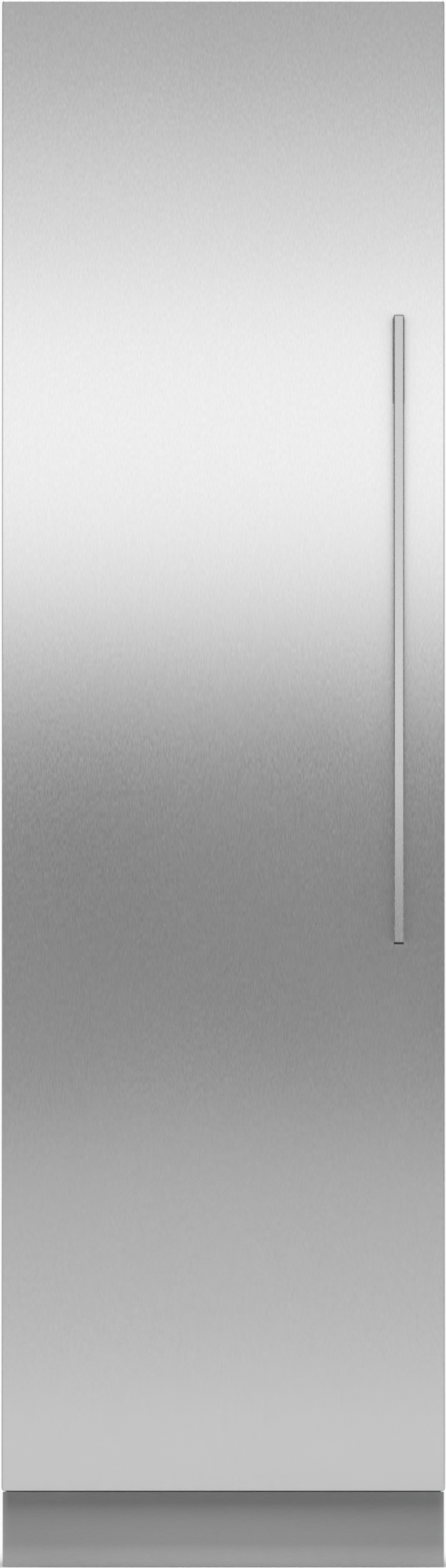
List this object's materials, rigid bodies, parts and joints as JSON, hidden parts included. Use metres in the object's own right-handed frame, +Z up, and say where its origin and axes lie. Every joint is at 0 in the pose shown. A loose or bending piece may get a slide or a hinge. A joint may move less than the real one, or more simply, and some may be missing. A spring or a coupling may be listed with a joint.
{
  "type": "column refrigerator",
  "caption": "Tall built-in column refrigerator with a brushed steel door, square bar handle, recessed toe kick, glass shelves, door bins and crisper drawers.",
  "frame": {"origin": "centre of the whole object's base, on the floor", "axes": "+Z up, -Y out of the door's face, +X towards the handle side"},
  "size_m": [0.603, 0.658, 2.134],
  "materials": {
    "stainless": "brushed",
    "satin_steel": "satin",
    "zinc": "zinc plated",
    "grey_paint": "satin",
    "dark_paint": "satin",
    "white_plastic": "satin",
    "grey_plastic": "matte",
    "black_plastic": "satin",
    "clear_plastic": "clear",
    "foam": "matte",
    "rubber": "matte",
    "glass": "clear",
    "aluminium": "mill"
  },
  "bodies": {
    "cabinet": {"cabinet_shell": "grey_paint", "front_frame": "satin_steel", "insulation": "foam", "inner_liner": "white_plastic", "back_panel": "zinc", "base_frame": "dark_paint", "toe_kick": "stainless", "compressor": "dark_paint", "condenser": "dark_paint", "fan_shroud": "black_plastic", "drip_tray": "black_plastic", "board_box": "grey_plastic", "vent_grille": "dark_paint", "evaporator_cover": "white_plastic", "evaporator_coil": "aluminium", "ceiling_light": "clear_plastic", "control_panel": "black_plastic", "shelf_1_frame": "satin_steel", "shelf_1_glass": "glass", "shelf_2_frame": "satin_steel", "shelf_2_glass": "glass", "shelf_3_frame": "satin_steel", "shelf_3_glass": "glass", "crisper_cover_frame": "satin_steel", "crisper_cover_glass": "glass", "lower_drawer_housing": "white_plastic", "upper_drawer_housing": "white_plastic", "upper_hinge_cabinet_bracket": "zinc", "lower_hinge_cabinet_bracket": "zinc"},
    "hinge_arms": {"upper_hinge_main_arm": "zinc", "lower_hinge_main_arm": "zinc"},
    "control_arms": {"upper_hinge_control_arm": "zinc", "lower_hinge_control_arm": "zinc"},
    "door": {"door_panel": "stainless", "panel_core": "foam", "door_case": "grey_paint", "door_liner": "white_plastic", "door_insulation": "foam", "door_gasket": "rubber", "handle_bar": "stainless", "handle_upper_saddle": "satin_steel", "handle_lower_saddle": "satin_steel", "upper_hinge_door_bracket": "zinc", "lower_hinge_door_bracket": "zinc"},
    "bin_1": {"door_bin_1": "clear_plastic"},
    "bin_2": {"door_bin_2": "clear_plastic"},
    "bin_3": {"door_bin_3": "clear_plastic"},
    "bin_4": {"door_bin_4": "clear_plastic"},
    "lower_rails": {"lower_drawer_rails": "zinc"},
    "lower_drawer": {"lower_drawer_box": "clear_plastic", "lower_drawer_front": "clear_plastic"},
    "upper_rails": {"upper_drawer_rails": "zinc"},
    "upper_drawer": {"upper_drawer_box": "clear_plastic", "upper_drawer_front": "clear_plastic"},
    "left_foot": {"left_levelling_foot": "zinc"},
    "right_foot": {"right_levelling_foot": "zinc"},
    "left_roller": {"left_rear_roller": "grey_plastic"},
    "right_roller": {"right_rear_roller": "grey_plastic"},
    "condenser_fan_wheel": {"condenser_fan": "black_plastic"},
    "evaporator_fan_wheel": {"evaporator_fan": "grey_plastic"}
  },
  "joints": [
    {"name": "hinge_arm_swing", "type": "hinge", "parent": "cabinet", "child": "hinge_arms", "pos_m": [-0.22, -0.241, 1.119], "axis": [0, 0, 1], "range_deg": [0, 64.5]},
    {"name": "door_swing", "type": "hinge", "parent": "hinge_arms", "child": "door", "pos_m": [-0.291, -0.2425, 1.119], "axis": [0, 0, -1], "range_deg": [0, 179.5]},
    {"name": "control_arm_swing", "type": "hinge", "parent": "cabinet", "child": "control_arms", "pos_m": [-0.079, -0.149, 1.119], "axis": [0, 0, 1], "range_deg": [0, 26.5]},
    {"name": "lower_rails_slide", "type": "slide", "parent": "cabinet", "child": "lower_rails", "axis": [0, -1, 0], "range_m": [0, 0.11]},
    {"name": "lower_drawer_slide", "type": "slide", "parent": "lower_rails", "child": "lower_drawer", "axis": [0, -1, 0], "range_m": [0, 0.11]},
    {"name": "upper_rails_slide", "type": "slide", "parent": "cabinet", "child": "upper_rails", "axis": [0, -1, 0], "range_m": [0, 0.114]},
    {"name": "upper_drawer_slide", "type": "slide", "parent": "upper_rails", "child": "upper_drawer", "axis": [0, -1, 0], "range_m": [0, 0.114]},
    {"name": "bin_1_lift", "type": "slide", "parent": "door", "child": "bin_1", "axis": [0, 0, 1], "range_m": [0, 0.025]},
    {"name": "bin_2_lift", "type": "slide", "parent": "door", "child": "bin_2", "axis": [0, 0, 1], "range_m": [0, 0.025]},
    {"name": "bin_3_lift", "type": "slide", "parent": "door", "child": "bin_3", "axis": [0, 0, 1], "range_m": [0, 0.025]},
    {"name": "bin_4_lift", "type": "slide", "parent": "door", "child": "bin_4", "axis": [0, 0, 1], "range_m": [0, 0.025]},
    {"name": "left_foot_turn", "type": "hinge", "parent": "cabinet", "child": "left_foot", "pos_m": [-0.257, -0.149, 0.03], "axis": [0, 0, 1], "continuous": true},
    {"name": "right_foot_turn", "type": "hinge", "parent": "cabinet", "child": "right_foot", "pos_m": [0.257, -0.149, 0.03], "axis": [0, 0, 1], "continuous": true},
    {"name": "left_roller_spin", "type": "hinge", "parent": "cabinet", "child": "left_roller", "pos_m": [-0.275, 0.289, 0.02], "axis": [1, 0, 0], "continuous": true},
    {"name": "right_roller_spin", "type": "hinge", "parent": "cabinet", "child": "right_roller", "pos_m": [0.275, 0.289, 0.02], "axis": [1, 0, 0], "continuous": true},
    {"name": "condenser_fan_spin", "type": "hinge", "parent": "cabinet", "child": "condenser_fan_wheel", "pos_m": [-0.0535, 0.227, 0.128], "axis": [1, 0, 0], "continuous": true},
    {"name": "evaporator_fan_spin", "type": "hinge", "parent": "cabinet", "child": "evaporator_fan_wheel", "pos_m": [0, 0.2395, 1.87], "axis": [0, 1, 0], "continuous": true}
  ],
  "couplings": [
    {"joint": "door_swing", "follows": "hinge_arm_swing", "ratio": 2.7829},
    {"joint": "control_arm_swing", "follows": "hinge_arm_swing", "ratio": 0.41085},
    {"joint": "lower_rails_slide", "follows": "hinge_arm_swing", "m_per_rad": 0.09771},
    {"joint": "lower_drawer_slide", "follows": "hinge_arm_swing", "m_per_rad": 0.09771},
    {"joint": "upper_rails_slide", "follows": "hinge_arm_swing", "m_per_rad": 0.10126},
    {"joint": "upper_drawer_slide", "follows": "hinge_arm_swing", "m_per_rad": 0.10126}
  ]
}
